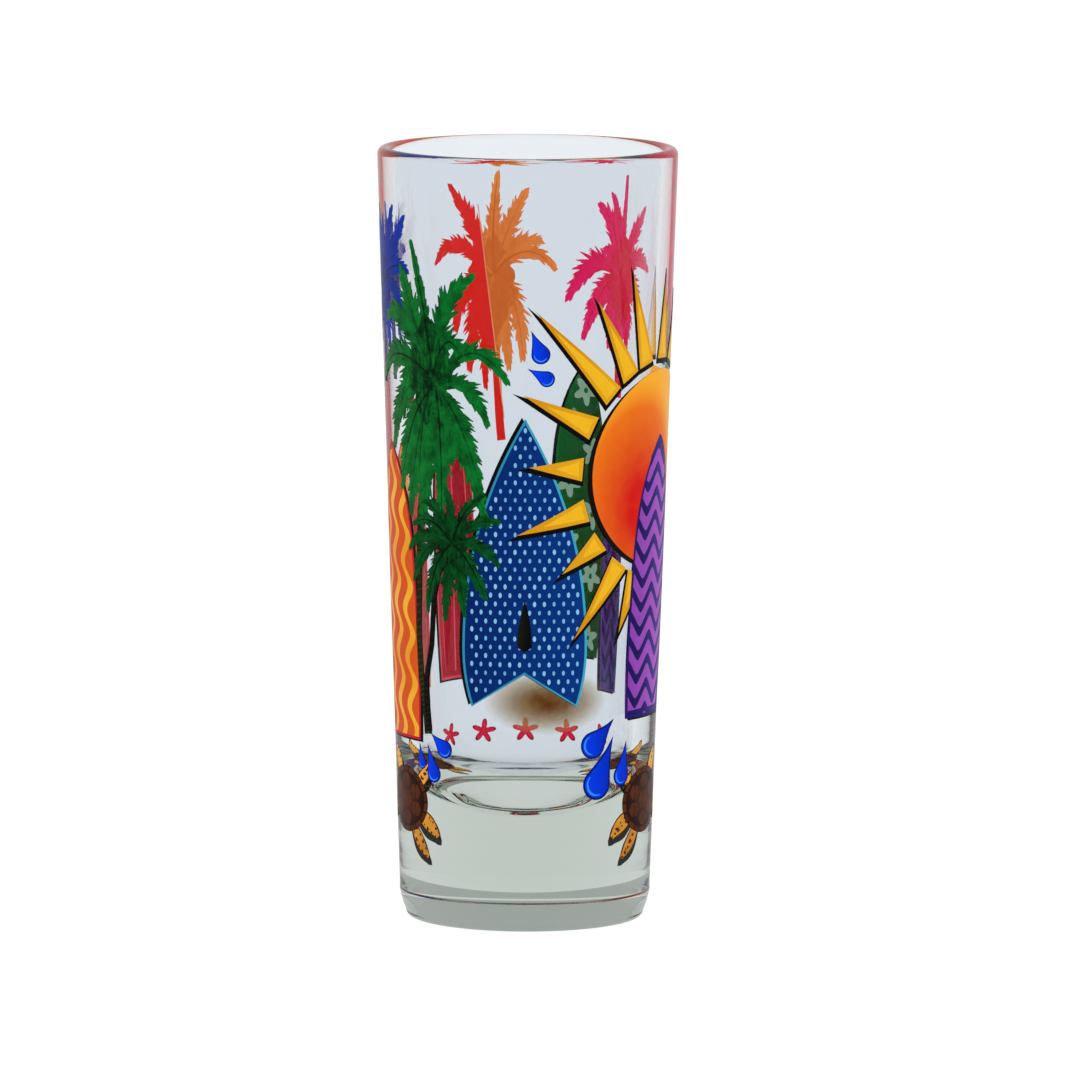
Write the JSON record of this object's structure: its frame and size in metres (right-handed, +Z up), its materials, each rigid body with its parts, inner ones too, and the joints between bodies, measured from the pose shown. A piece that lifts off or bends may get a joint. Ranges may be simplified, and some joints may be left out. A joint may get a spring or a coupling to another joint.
{
  "type": "shot glass",
  "caption": "Tall tapered shot glass with a thick clear base, a dished bowl floor and a fired enamel beach print of palms, surfboards, a sun, water drops and turtles.",
  "frame": {"origin": "centre of the foot, on the plane that the glass stands on", "axes": "+Z up along the glass's axis; the printed front faces -Y; +X to the right of someone looking at the front"},
  "size_m": [0.0394, 0.0394, 0.1016],
  "materials": {
    "clear_glass": "fire polished, clear",
    "enamel_palm_green": "fired enamel, satin gloss",
    "enamel_deep_green": "fired enamel, satin gloss",
    "enamel_leaf_green": "fired enamel, satin gloss",
    "enamel_orange": "fired enamel, satin gloss",
    "enamel_magenta": "fired enamel, satin gloss",
    "enamel_royal_blue": "fired enamel, satin gloss",
    "enamel_sea_blue": "fired enamel, satin gloss",
    "enamel_navy": "fired enamel, satin gloss",
    "enamel_purple": "fired enamel, satin gloss",
    "enamel_crimson": "fired enamel, satin gloss",
    "enamel_sun": "fired enamel, satin gloss",
    "enamel_yellow": "fired enamel, satin gloss",
    "enamel_turtle": "fired enamel, satin gloss",
    "enamel_sand": "fired enamel, satin gloss"
  },
  "bodies": {
    "root": {"glass_body": "clear_glass", "board_blue": "enamel_sea_blue", "board_green": "enamel_leaf_green", "board_navy": "enamel_navy", "board_orange": "enamel_orange", "board_purple": "enamel_purple", "board_red_back": "enamel_crimson", "board_red_left": "enamel_crimson", "drop_left_large": "enamel_royal_blue", "drop_left_small": "enamel_royal_blue", "drop_left_upper": "enamel_royal_blue", "drop_right_lower": "enamel_royal_blue", "drop_right_small": "enamel_royal_blue", "drop_right_upper": "enamel_royal_blue", "drop_top_lower": "enamel_royal_blue", "drop_top_upper": "enamel_royal_blue", "palm_blue": "enamel_royal_blue", "palm_green_short": "enamel_deep_green", "palm_green_tall": "enamel_palm_green", "palm_magenta": "enamel_magenta", "palm_orange": "enamel_orange", "sand_patch": "enamel_sand", "starfish_1": "enamel_crimson", "starfish_2": "enamel_crimson", "starfish_3": "enamel_crimson", "starfish_4": "enamel_crimson", "starfish_5": "enamel_crimson", "sun_disc": "enamel_sun", "sun_ray_01": "enamel_yellow", "sun_ray_02": "enamel_yellow", "sun_ray_03": "enamel_yellow", "sun_ray_04": "enamel_yellow", "sun_ray_05": "enamel_yellow", "sun_ray_06": "enamel_yellow", "sun_ray_07": "enamel_yellow", "sun_ray_08": "enamel_yellow", "sun_ray_09": "enamel_yellow", "sun_ray_10": "enamel_yellow", "sun_ray_11": "enamel_yellow", "turtle_left": "enamel_turtle", "turtle_right": "enamel_turtle"}
  },
  "joints": []
}
